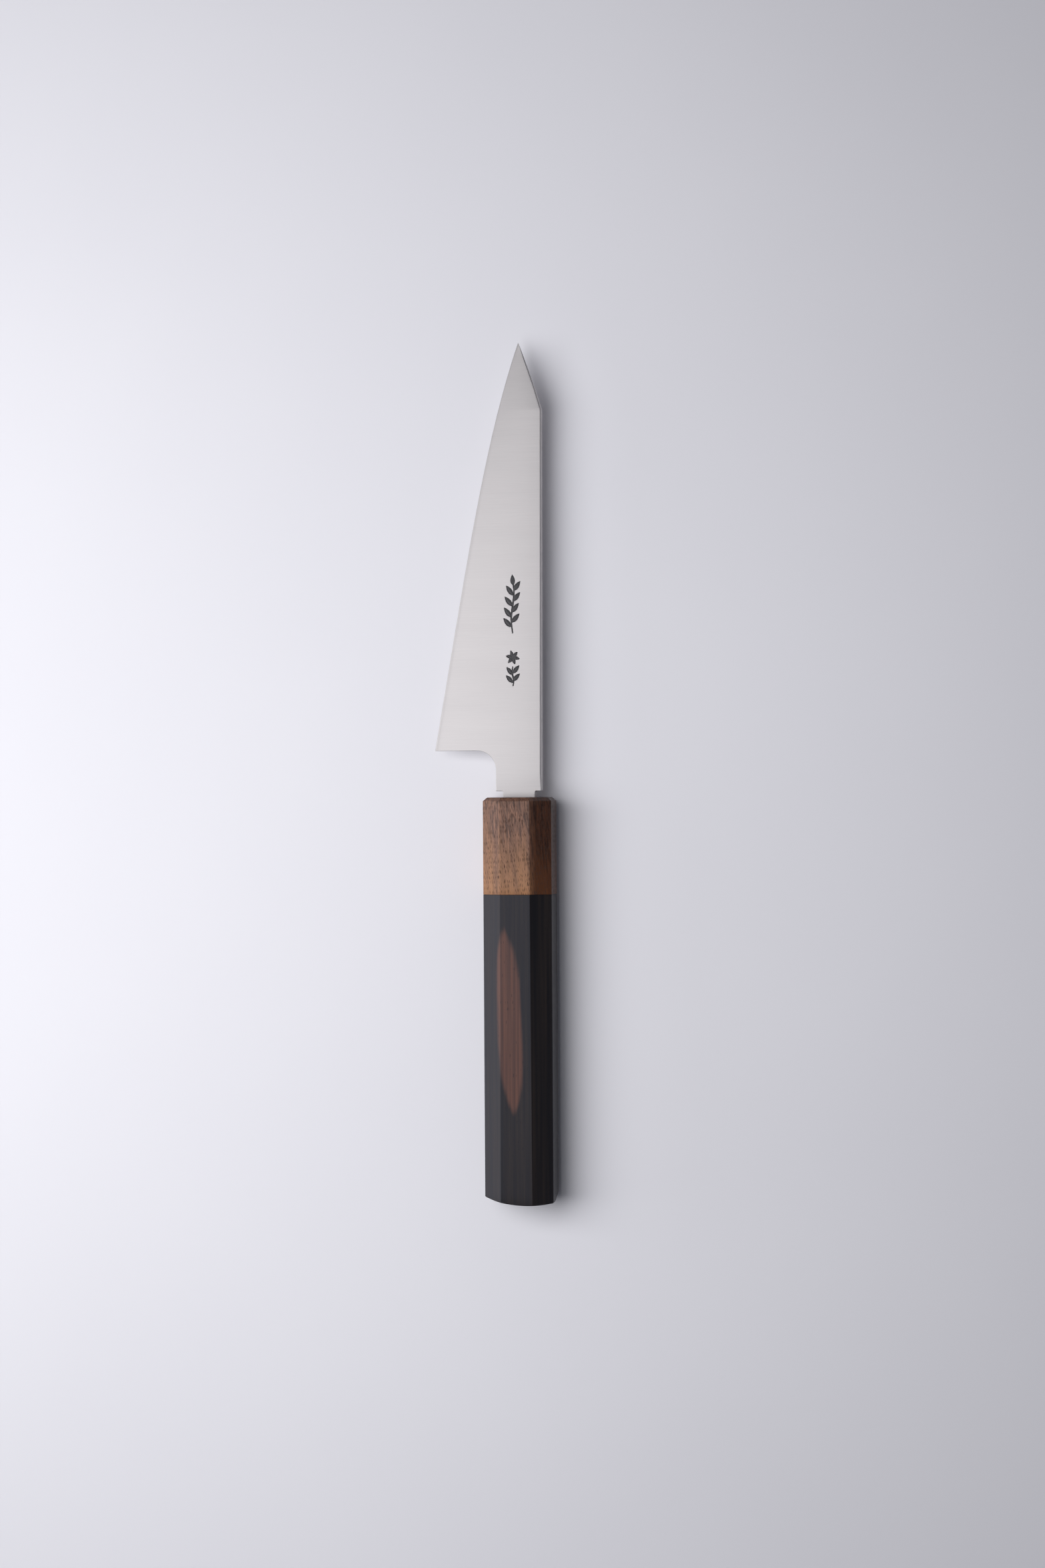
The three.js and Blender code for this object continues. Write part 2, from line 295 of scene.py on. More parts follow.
def half_thickness(x, y):
    """Half the blade's thickness: full at the back, falling to the edge as one less a power of
    the distance from the back, then cut off by the steeper honed bevel beside the edge. Along
    the neck it eases into the even thickness of the tang."""
    on_spine = np.clip((x - HEEL_X) / (BACK_CORNER_X - HEEL_X), 0, 1)
    on_back = np.clip((x - BACK_CORNER_X) / (TIP_X - BACK_CORNER_X), 0, 1)
    at_back = SPINE_THICKNESS + (CORNER_THICKNESS - SPINE_THICKNESS) * on_spine
    at_back = at_back + (TIP_THICKNESS - CORNER_THICKNESS) * on_back
    width = np.maximum(edge_y(x) - back_y(x), NARROWEST_GROUND)
    from_edge = np.clip((edge_y(x) - y) / width, 0, 1)
    ground = at_back * (1 - (1 - from_edge) ** GRIND_POWER)
    ground = np.maximum(ground, BEHIND_EDGE_THICKNESS) / 2
    honed = EDGE_HALF_THICKNESS + HONED_SLOPE * np.maximum(edge_y(x) - y, 0)
    blade = np.minimum(ground, honed)
    into_tang = 1 - x_ramp(x, FERRULE_FRONT_X, CHOIL_START_X)
    return blade + (TANG_THICKNESS / 2 - blade) * into_tang


def arc(centre_x, centre_y, radius, from_degrees, to_degrees, count):
    """Points on a circular arc, both ends included."""
    angle = np.radians(np.linspace(from_degrees, to_degrees, count))
    return np.column_stack([centre_x + radius * np.cos(angle), centre_y + radius * np.sin(angle)])


def straight(start, end, count):
    """Evenly spaced points from start to end, both ends included."""
    return np.linspace(np.array(start, float), np.array(end, float), count)


def resampled(points, fractions):
    """The points at given fractions of a polyline's length."""
    steps = np.hypot(*np.diff(points, axis=0).T)
    reached = np.concatenate([[0], np.cumsum(steps)]) / steps.sum()
    return np.column_stack([np.interp(fractions, reached, points[:, i]) for i in (0, 1)])


def blade_sides():
    """The edge side's and the spine side's outlines from the tang's end to the tip, with as many
    points each, and how far the cross lines between them bow towards the tip. A cross line
    joins each pair of points, so together they sweep the whole blade once."""
    tang_centre = TANG_END_X + TANG_END_RADIUS
    end_edge = arc(tang_centre, 0, TANG_END_RADIUS, 180, 90, 9)
    end_spine = end_edge * [1, -1]
    fillet_x = SHOULDER_X - SHOULDER_FILLET
    tang_edge = straight((tang_centre, TANG_END_RADIUS), (fillet_x, TANG_EDGE_Y), 24)[1:]
    tang_spine = straight((tang_centre, -TANG_END_RADIUS), (fillet_x, TANG_SPINE_Y), 24)[1:]

    fillet_edge = arc(fillet_x, TANG_EDGE_Y + SHOULDER_FILLET, SHOULDER_FILLET, -90, 0, 7)[1:]
    fillet_spine = arc(fillet_x, TANG_SPINE_Y - SHOULDER_FILLET, SHOULDER_FILLET, 90, 0, 7)[1:]
    round_x = SHOULDER_X + SHOULDER_ROUND
    round_edge = arc(round_x, NECK_EDGE_Y - SHOULDER_ROUND, SHOULDER_ROUND, 180, 90, 5)
    round_spine = arc(round_x, SPINE_Y_AT_SHOULDER + SHOULDER_ROUND, SHOULDER_ROUND, 180, 270, 5)
    step_edge = straight(fillet_edge[-1], round_edge[0], 10)[1:-1]
    step_spine = straight(fillet_spine[-1], round_spine[0], 10)[1:-1]
    shoulder_edge = np.vstack([fillet_edge, step_edge, round_edge])
    shoulder_spine = np.vstack([fillet_spine, step_spine, round_spine])

    neck_edge = straight((round_x, NECK_EDGE_Y), (CHOIL_START_X, NECK_EDGE_Y), 12)[1:]
    choil = arc(CHOIL_START_X, NECK_EDGE_Y + CHOIL_RADIUS, CHOIL_RADIUS, -90, 0, 25)[1:]
    heel = straight((HEEL_X, NECK_EDGE_Y + CHOIL_RADIUS), (HEEL_X, HEEL_Y), 26)[1:]
    behind_heel = np.vstack([neck_edge, choil, heel])
    spine_behind = np.linspace(round_x, HEEL_LINE_SPINE_X, len(behind_heel) + 1)[1:]

    sprig_x = np.linspace(ENGRAVED_FROM_X, ENGRAVED_TO_X, 212)
    before_x = np.linspace(HEEL_X, ENGRAVED_FROM_X, 15)[1:-1]
    after_x = np.linspace(ENGRAVED_TO_X, BEFORE_CORNER_X, 24)[1:-1]
    corner_x = BACK_CORNER_X + BACK_CORNER_RADIUS * np.linspace(-1, 1, 11)
    before_tip = np.linspace(corner_x[-1], BEFORE_TIP_X, 24)[1:]
    tip_x = np.concatenate([before_tip, TIP_X - LAST_STEPS_TO_TIP])
    edge_x = np.concatenate([before_x, sprig_x, after_x, corner_x, tip_x])
    edge = np.column_stack([edge_x, edge_y(edge_x)])
    fan = np.linspace(HEEL_LINE_SPINE_X, ENGRAVED_FROM_X, len(before_x) + 2)[1:-1]
    spine_x = np.concatenate([spine_behind, fan, edge_x[len(before_x):]])
    spine = np.column_stack([spine_x, back_y(spine_x)])

    edge_side = np.vstack([end_edge, tang_edge, shoulder_edge, behind_heel, edge])
    spine_side = np.vstack([end_spine, tang_spine, shoulder_spine, spine])
    bow = np.zeros(len(edge_side))
    first = len(end_edge) + len(tang_edge)
    last = first + len(shoulder_edge)
    bow[first:last] = np.linspace(0, SHOULDER_BOW, last - first)
    bow[last:last + len(neck_edge)] = np.linspace(SHOULDER_BOW, 0, len(neck_edge))
    return edge_side, spine_side, bow


def blade_rings():
    """Rings of the blade, one per pair of outline points. The outline is drawn in by the radius
    of its eased arris; the upper face runs over the drawn-in cross line, a quadratic curve, at
    plus the half thickness and the lower face at minus it; quarter circles in the direction of
    the outline's normal join the faces to the narrow walls between them."""
    edge_side, spine_side, bow = blade_sides()
    on_tang = edge_side[:, 0] < SHOULDER_X
    on_neck = (edge_side[:, 0] < CHOIL_START_X) & ~on_tang
    edge_radius = np.where(on_neck, NECK_ARRIS, EDGE_SIDE_ARRIS)
    edge_radius = np.where(on_tang, TANG_ARRIS, edge_radius)
    past_shoulder = x_ramp(spine_side[:, 0], SHOULDER_X + 0.5, SHOULDER_X + 5)
    before_tip = (TIP_X - spine_side[:, 0]) / ARRIS_FADES_BEFORE_TIP
    spine_radius = TANG_ARRIS + (SPINE_ARRIS - TANG_ARRIS) * past_shoulder
    spine_radius = spine_radius * np.clip(before_tip, 0, 1)

    def drawn_in(points, radius, side):
        """The points moved in by the radius along the outline's normal, and the radius used,
        which is never more than nine tenths of the half thickness there."""
        along = np.gradient(points, axis=0)
        along /= np.maximum(np.hypot(*along.T), 1e-9)[:, None]
        inward = np.column_stack([along[:, 1], -along[:, 0]]) * side
        radius = np.minimum(radius, 0.9 * half_thickness(*(points + inward * radius[:, None]).T))
        return points + inward * radius[:, None], radius

    inner_edge, edge_radius = drawn_in(edge_side, edge_radius, 1)
    inner_spine, spine_radius = drawn_in(spine_side, spine_radius, -1)

    # How far across from the edge side each row runs: closer rows at the honed edge, at the
    # spine and, by the sprig's length, where it is cut
    length = np.hypot(*(inner_spine - inner_edge).T)
    near_edge = np.array([0.1, 0.2, 0.25, 0.4, 0.8, 1.4, 2.5])
    near_spine = np.array([3.0, 1.6, 0.8, 0.3])
    plain_first, plain_last = 0.42, 0.84
    width = np.maximum(length, ROWS_CLOSE_UP_BELOW_WIDTH)[:, None]
    sprig = x_ramp(inner_edge[:, 0], *ROWS_GATHER_X) - x_ramp(inner_edge[:, 0], *ROWS_PART_X)

    def rows(sprig_rows, between):
        """Each ring's rows as parts of its width: the given number over the sprig, and the given
        number between them and the rows near the edge."""
        start = near_edge / width
        finish = 1 - near_spine / width
        first = start[:, -1:] + (finish[:, :1] - start[:, -1:]) * plain_first
        last = start[:, -1:] + (finish[:, :1] - start[:, -1:]) * plain_last
        cut_first = (inner_edge[:, 1:] - ENGRAVED_TO_Y) / width
        cut_last = (inner_edge[:, 1:] - ENGRAVED_FROM_Y) / width
        first = first + (cut_first - first) * sprig[:, None]
        last = last + (cut_last - last) * sprig[:, None]
        over = np.linspace(0, 1, between + 2)[None, 1:-1]
        before = start[:, -1:] + (first - start[:, -1:]) * over
        cut = first + (last - first) * np.linspace(0, 1, sprig_rows)[None, :]
        after = last + (finish[:, :1] - last) * np.linspace(0, 1, 7)[None, 1:-1]
        ends = np.zeros((len(length), 1))
        return np.hstack([ends, start, before, cut, after, finish, ends + 1])

    def face(fractions, side):
        """The upper face's points where side is 1, or the lower's where it is -1, and how deep
        the sprig is cut at each."""
        across = fractions[:, :, None]
        middle = (inner_edge + inner_spine) / 2
        middle[:, 0] += bow
        flat = (1 - across) ** 2 * inner_edge[:, None] + across**2 * inner_spine[:, None]
        flat = flat + 2 * across * (1 - across) * middle[:, None]
        rise = half_thickness(flat[..., 0], flat[..., 1])
        depth = sprig_depth(flat[..., 0], flat[..., 1]) if side > 0 else np.zeros_like(rise)
        height = AXIS_Z + side * rise - depth * ENGRAVED_DEPTH
        return np.dstack([flat, height]), depth

    def eased(outer, inner, radius, side):
        """The quarter circle from the wall, at the outer point, up to the face, at the inner."""
        turn = np.radians(np.linspace(0, 90, 5))[None, :-1, None]
        flat = inner[:, None] + (outer - inner)[:, None] * np.cos(turn)
        rise = half_thickness(inner[:, 0], inner[:, 1]) - radius
        height = rise[:, None] + radius[:, None] * np.sin(turn[..., 0])
        return np.dstack([flat, AXIS_Z + side * height])

    upper, cut = face(rows(sprig_rows=64, between=14), 1)
    lower = face(rows(sprig_rows=14, between=8), -1)[0]
    upper_arris = eased(edge_side, inner_edge, edge_radius, 1)
    rings = np.hstack([
        upper_arris,
        upper,
        eased(spine_side, inner_spine, spine_radius, 1)[:, ::-1],
        eased(spine_side, inner_spine, spine_radius, -1),
        lower[:, ::-1],
        eased(edge_side, inner_edge, edge_radius, -1)[:, ::-1],
    ])
    engraved = np.zeros(rings.shape[:2])
    start = upper_arris.shape[1]
    engraved[:, start:start + cut.shape[1]] = cut
    return rings, engraved


def leaf(x, y, base_x, base_y, lean, length, width):
    """How deep a leaf is cut at each place: a lens whose half width is a parabola along its
    length, fuller towards its base, cut deepest beside its outline and less along its middle."""
    turn = np.radians(lean)
    along = (x - base_x) * np.cos(turn) + (y - base_y) * np.sin(turn)
    aside = np.abs((y - base_y) * np.cos(turn) - (x - base_x) * np.sin(turn))
    part = np.clip(along / length, 0, 1)
    half = width / 2 * 4 * part * (1 - part) * (1.25 - 0.5 * part)
    ends = x_ramp(along, -0.05, 0.15) * (1 - x_ramp(along, length - 0.15, length + 0.05))
    inside = x_ramp(half - aside, *CUT_RIM) * ends
    middle = x_ramp(half - aside, *LEAF_MIDDLE) * LEAF_MIDDLE_SHALLOWER
    return inside * (1 - middle)


def stem(x, y, from_x, to_x, middle_y, sway, thickness):
    """How deep a stem is cut at each place: a line along the blade that sways as a sine and
    thins from its middle to both ends."""
    line = middle_y + sway * np.sin((x - from_x) / (to_x - from_x) * 2 * np.pi)
    half = thickness / 2 * (1 - 0.4 * np.abs(2 * (x - from_x) / (to_x - from_x) - 1))
    ends = x_ramp(x, from_x - 0.1, from_x + 0.2) * (1 - x_ramp(x, to_x - 0.2, to_x + 0.1))
    return x_ramp(half - np.abs(y - line), *CUT_RIM) * ends


def sprig_depth(x, y):
    """The deepest of all the leaves and stems at each place, 0 to 1."""
    long_stem = stem(x, y, *LONG_STEM_X, STEM_Y, sway=0.5, thickness=0.62)
    short_stem = stem(x, y, *SHORT_STEM_X, STEM_Y, sway=-0.25, thickness=0.55)
    end_leaf = leaf(x, y, 166.0, 1.6, lean=4, length=3.9, width=1.6)
    cuts = [long_stem, short_stem, end_leaf]
    for base_x, base_y, lean in LONG_STEM_LEAVES:
        cuts.append(leaf(x, y, base_x, base_y, lean, length=4.4, width=1.6))
        cuts.append(leaf(x, y, base_x + 1.7, base_y - 0.2, -lean, length=4.2, width=1.55))
    for turn in PETAL_TURNS:
        cuts.append(leaf(x, y, FLOWER_X, STEM_Y, turn + 18, length=2.6, width=1.15))
    for base_x, lean in SHORT_STEM_LEAVES:
        cuts.append(leaf(x, y, base_x, STEM_Y, lean, length=3.7, width=1.4))
        cuts.append(leaf(x, y, base_x + 0.6, STEM_Y, -lean, length=3.7, width=1.4))
    return np.max(cuts, axis=0)


def skinned(name, rings, sharp_degrees, engraved=None, closed=False):
    """A mesh object over a stack of rings in millimetres: each ring's points are joined round,
    and each ring to the next. A closed stack joins its last ring to its first; an open one has
    its first and last rings drawn to one point each, which is those rings' middle."""
    count, around = rings.shape[:2]
    index = np.arange(count * around).reshape(count, around)
    points = rings.reshape(-1, 3)
    here, ahead = (index, np.roll(index, -1, axis=0)) if closed else (index[:-1], index[1:])
    quads = np.stack([here, np.roll(here, -1, 1), np.roll(ahead, -1, 1), ahead], axis=-1)
    faces = quads.reshape(-1, 4).tolist()
    if not closed:
        ends = np.stack([rings[0].mean(0), rings[-1].mean(0)])
        points = np.vstack([points, ends])
        first, last = count * around, count * around + 1
        fan = np.stack([np.full(around, first), np.roll(index[0], -1), index[0]], axis=-1)
        faces += fan.tolist()
        fan = np.stack([np.full(around, last), index[-1], np.roll(index[-1], -1)], axis=-1)
        faces += fan.tolist()
    mesh = bpy.data.meshes.new(name)
    mesh.from_pydata((points * MM).tolist(), [], faces)
    if engraved is not None:
        depth = mesh.attributes.new("engraved", "FLOAT", "POINT")
        depth.data.foreach_set("value", np.append(engraved.ravel(), [0, 0]).astype(np.float32))
    mesh.shade_smooth()
    mesh.set_sharp_from_angle(angle=np.radians(sharp_degrees))
    mesh.update()
    piece = bpy.data.objects.new(name, mesh)
    bpy.context.scene.collection.objects.link(piece)
    return piece


# The first and last rings have no width, so they are left off, and their neighbours' middles
# close the blade's ends
blade_skin, blade_cut = blade_rings()
blade = skinned("blade_ground_and_honed", blade_skin[1:-1], sharp_degrees=28,
                engraved=blade_cut[1:-1])

steel = bpy.data.materials.new("satin_stainless")
steel.use_nodes = True
nodes = steel.node_tree.nodes
links = steel.node_tree.links
nodes.clear()

lines_frame = nodes.new("NodeFrame")
lines_frame.label = "fine lines left by the belt, running across the blade"
mark_frame = nodes.new("NodeFrame")
mark_frame.label = "darkened floor of the engraved sprig"
patches_frame = nodes.new("NodeFrame")
patches_frame.label = "slow changes of sheen along the blade"

output = nodes.new("ShaderNodeOutputMaterial")
output.label = "blade surface"
output.location = (1300, 0)
shader = nodes.new("ShaderNodeBsdfPrincipled")
shader.label = "satin stainless steel"
shader.location = (1000, 0)
shader.inputs["Metallic"].default_value = 1.0
place = nodes.new("ShaderNodeTexCoord")
place.label = "place on the blade"
place.location = (-1200, 0)

stretch = nodes.new("ShaderNodeMapping")
stretch.label = "lines a fifth of a millimetre apart and long across the blade"
stretch.location = (-950, 200)
stretch.parent = lines_frame
stretch.inputs["Scale"].default_value = (5600, 70, 70)
belt = nodes.new("ShaderNodeTexNoise")
belt.label = "belt lines"
belt.location = (-700, 200)
belt.parent = lines_frame
belt.inputs["Scale"].default_value = 1.0
belt.inputs["Detail"].default_value = 5
belt.inputs["Roughness"].default_value = 0.7
bump = nodes.new("ShaderNodeBump")
bump.label = "depth of the belt lines"
bump.location = (600, -350)
bump.parent = lines_frame
bump.inputs["Strength"].default_value = 0.06
bump.inputs["Distance"].default_value = 0.02 * MM
rough = nodes.new("ShaderNodeMapRange")
rough.label = "duller in the lines"
rough.location = (350, -100)
rough.parent = lines_frame
rough.inputs["To Min"].default_value = 0.40
rough.inputs["To Max"].default_value = 0.47

slow_place = nodes.new("ShaderNodeMapping")
slow_place.label = "broad bands across the blade"
slow_place.location = (-950, -250)
slow_place.parent = patches_frame
slow_place.inputs["Scale"].default_value = (160, 22, 22)
slow = nodes.new("ShaderNodeTexNoise")
slow.label = "uneven pressure of the belt"
slow.location = (-700, -250)
slow.parent = patches_frame
slow.inputs["Scale"].default_value = 1.0
slow.inputs["Detail"].default_value = 3
blend = nodes.new("ShaderNodeMix")
blend.label = "lines with the slow bands"
blend.location = (-400, 100)
blend.data_type = "FLOAT"
blend.inputs["Factor"].default_value = 0.3
tones = nodes.new("ShaderNodeValToRGB")
tones.label = "warm light grey steel"
tones.location = (-150, 100)
tones.color_ramp.elements[0].position = 0.34
tones.color_ramp.elements[0].color = (0.600, 0.574, 0.566, 1)
tones.color_ramp.elements[1].position = 0.66
tones.color_ramp.elements[1].color = (0.650, 0.622, 0.611, 1)

cut_depth = nodes.new("ShaderNodeAttribute")
cut_depth.label = "how deep the sprig is cut"
cut_depth.location = (-150, 500)
cut_depth.parent = mark_frame
cut_depth.attribute_name = "engraved"
cut_edge = nodes.new("ShaderNodeMapRange")
cut_edge.label = "dark from the top of the cut"
cut_edge.location = (100, 500)
cut_edge.parent = mark_frame
cut_edge.inputs["From Min"].default_value = 0.12
cut_edge.inputs["From Max"].default_value = 0.5
dark = nodes.new("ShaderNodeMix")
dark.label = "steel darkened in the cut"
dark.location = (600, 200)
dark.parent = mark_frame
dark.data_type = "RGBA"
dark.inputs["B"].default_value = (0.085, 0.083, 0.085, 1)

links.new(place.outputs["Object"], stretch.inputs["Vector"])
links.new(place.outputs["Object"], slow_place.inputs["Vector"])
links.new(stretch.outputs["Vector"], belt.inputs["Vector"])
links.new(slow_place.outputs["Vector"], slow.inputs["Vector"])
links.new(belt.outputs["Fac"], blend.inputs["A"])
links.new(slow.outputs["Fac"], blend.inputs["B"])
links.new(blend.outputs["Result"], tones.inputs["Fac"])
links.new(tones.outputs["Color"], dark.inputs["A"])
links.new(cut_depth.outputs["Fac"], cut_edge.inputs["Value"])
links.new(cut_edge.outputs["Result"], dark.inputs["Factor"])
links.new(dark.outputs["Result"], shader.inputs["Base Color"])
links.new(belt.outputs["Fac"], rough.inputs["Value"])
links.new(rough.outputs["Result"], shader.inputs["Roughness"])
links.new(belt.outputs["Fac"], bump.inputs["Height"])
links.new(bump.outputs["Normal"], shader.inputs["Normal"])
links.new(shader.outputs["BSDF"], output.inputs["Surface"])

blade.data.materials.append(steel)
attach(blade, "root")
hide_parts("blade")

# ---- Ferrule ----
# The octagonal front of the handle, planed and sanded from oiled walnut, its front arris
# chamfered. It is glued over the dowel's front end, and the tang enters through its front wall.

FERRULE_REAR_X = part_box("ferrule")[0].x / MM
HANDLE_HALF_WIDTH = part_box("ferrule")[1].y / MM
HANDLE_HALF_HEIGHT = AXIS_Z
BROAD_FACET_HALF = 5.5
NARROW_FACET_HALF = 5.1
ARRIS_RADIUS = 0.28
FERRULE_CHAMFER = 1.4
FERRULE_WALL = 8.0
BORE_RADIUS = 7.3
SLOT_HALF_HEIGHT = 1.8
SLOT_FROM_Y = -6.3
SLOT_TO_Y = 6.0
SLOT_EASE = 0.15
JOINT_EASE = 0.07

# The chamfer's profile with its two corners eased: how far behind the front and how far in
CHAMFER_BEHIND = np.array([1.32, 1.22, 0.8, 0.4, 0.16, 0.05, 0.0])
CHAMFER_INSET = np.array([0.02, 0.10, 0.55, 0.98, 1.25, 1.40, 1.56])
FRONT_FACE_INSET = np.array([2.2, 3.2])
REAR_FACE_SHRINK = 0.86


def octagon(inset, broad_half, radius=ARRIS_RADIUS, on_arris=6, on_facet=14):
    """The handle's octagonal outline, drawn in by inset, as rings of (y, z) about the axis. Each
    side's line moves in by the inset, so each corner is where two moved lines meet; an arc of
    the given radius, tangent to both sides, rounds it, and straight points join the arcs.
    Inset and broad_half are arrays with one value per ring."""
    inset = np.asarray(inset, float)[:, None]
    broad_half = np.asarray(broad_half, float)[:, None]
    slope_y = HANDLE_HALF_HEIGHT - NARROW_FACET_HALF
    slope_z = HANDLE_HALF_WIDTH - broad_half
    size = np.hypot(slope_y, slope_z)
    normal_y, normal_z = slope_y / size, slope_z / size
    reach = normal_y * HANDLE_HALF_WIDTH + normal_z * NARROW_FACET_HALF - inset
    side_y = HANDLE_HALF_WIDTH - inset
    top_z = HANDLE_HALF_HEIGHT - inset
    side_z = (reach - normal_y * side_y) / normal_z
    top_y = (reach - normal_z * top_z) / normal_y
    corner_y = np.hstack([side_y, top_y, -top_y, -side_y, -side_y, -top_y, top_y, side_y])
    corner_z = np.hstack([side_z, top_z, top_z, side_z, -side_z, -top_z, -top_z, -side_z])
    tilt = np.arctan2(normal_z, normal_y)
    quarter = np.full_like(tilt, np.pi / 2)
    facing = np.hstack([0 * tilt, tilt, quarter, np.pi - tilt, 2 * quarter, np.pi + tilt,
                        3 * quarter, 2 * np.pi - tilt, 4 * quarter])
    start, end = facing[:, :-1, None], facing[:, 1:, None]
    sweep = np.linspace(0, 1, on_arris)[None, None, :]
    angle = start + (end - start) * sweep
    half_turn = (start + end) / 2
    to_centre = radius / np.cos((end - start) / 2)
    arc_y = corner_y[:, :, None] - to_centre * np.cos(half_turn) + radius * np.cos(angle)
    arc_z = corner_z[:, :, None] - to_centre * np.sin(half_turn) + radius * np.sin(angle)
    arcs = np.stack([arc_y, arc_z], axis=-1)
    following = np.roll(arcs[:, :, 0], -1, axis=1)
    between = np.linspace(0, 1, on_facet + 2)[None, None, 1:-1, None]
    facets = arcs[:, :, -1:] + (following[:, :, None] - arcs[:, :, -1:]) * between
    return np.concatenate([arcs, facets], axis=2).reshape(len(inset), -1, 2)


def round_fractions(ring):
    """How far round a ring each of its points lies, as a part of its length, from the middle of
    the side that faces the cutting edge, where the first point is ring[0]'s height away."""
    steps = np.hypot(*(np.roll(ring, -1, axis=0) - ring).T)
    reached = np.cumsum(steps) - steps
    return (reached + ring[0, 1]) / steps.sum()


def bored(ring_like, radius):
    """A circle with a point for each point of the ring, at the same part of a turn."""
    turn = 2 * np.pi * round_fractions(ring_like)
    return np.column_stack([radius * np.cos(turn), radius * np.sin(turn)])


def slotted(ring_like, from_y, to_y, half_height):
    """A rectangular slot's outline with a point for each point of the ring, at the same part of
    the way round."""
    corners = np.array([[to_y, 0], [to_y, half_height], [from_y, half_height],
                        [from_y, -half_height], [to_y, -half_height], [to_y, 0]])
    return resampled(corners, round_fractions(ring_like) % 1)


def at_x(outline, x):
    """Rings of (x, y, z) from rings of (y, z) about the axis, one x for each ring or point."""
    x = np.broadcast_to(np.asarray(x, float), outline.shape[:-1])
    return np.stack([x, outline[..., 0], outline[..., 1] + AXIS_Z], axis=-1)


def ferrule_rings():
    """The ferrule's rings: forward along the outside, over the eased chamfer to the front, in to
    the slot, back through the front wall, out to the bore, back along it, and out over the
    rear face to where they started."""
    front, rear = FERRULE_FRONT_X, FERRULE_REAR_X
    wall_x = front - FERRULE_WALL
    facet_x = np.linspace(rear + JOINT_EASE, front - FERRULE_CHAMFER - 0.12, 12)
    face_x = np.full(len(FRONT_FACE_INSET), front)
    x = np.concatenate([[rear, rear + 0.3 * JOINT_EASE], facet_x, front - CHAMFER_BEHIND, face_x])
    inset = np.concatenate([[JOINT_EASE, 0.3 * JOINT_EASE], np.zeros(len(facet_x)),
                            CHAMFER_INSET, FRONT_FACE_INSET])
    outside = octagon(inset, np.full(len(inset), BROAD_FACET_HALF))
    like = octagon([0.0], [BROAD_FACET_HALF])[0]
    mouth = slotted(like, SLOT_FROM_Y - SLOT_EASE, SLOT_TO_Y + SLOT_EASE,
                    SLOT_HALF_HEIGHT + SLOT_EASE)
    slot = slotted(like, SLOT_FROM_Y, SLOT_TO_Y, SLOT_HALF_HEIGHT)
    bore = bored(like, BORE_RADIUS)
    rings = [at_x(ring, place) for ring, place in zip(outside, x)]
    rings += [at_x(mouth, front), at_x(slot, front - SLOT_EASE),
              at_x(slot, front - FERRULE_WALL / 2), at_x(slot, wall_x), at_x(bore, wall_x)]
    rings += [at_x(bore, place) for place in np.linspace(wall_x - 1, rear, 8)]
    rings += [at_x(like * REAR_FACE_SHRINK, rear)]
    return np.stack(rings)


ferrule = skinned("walnut_ferrule", ferrule_rings(), sharp_degrees=32, closed=True)


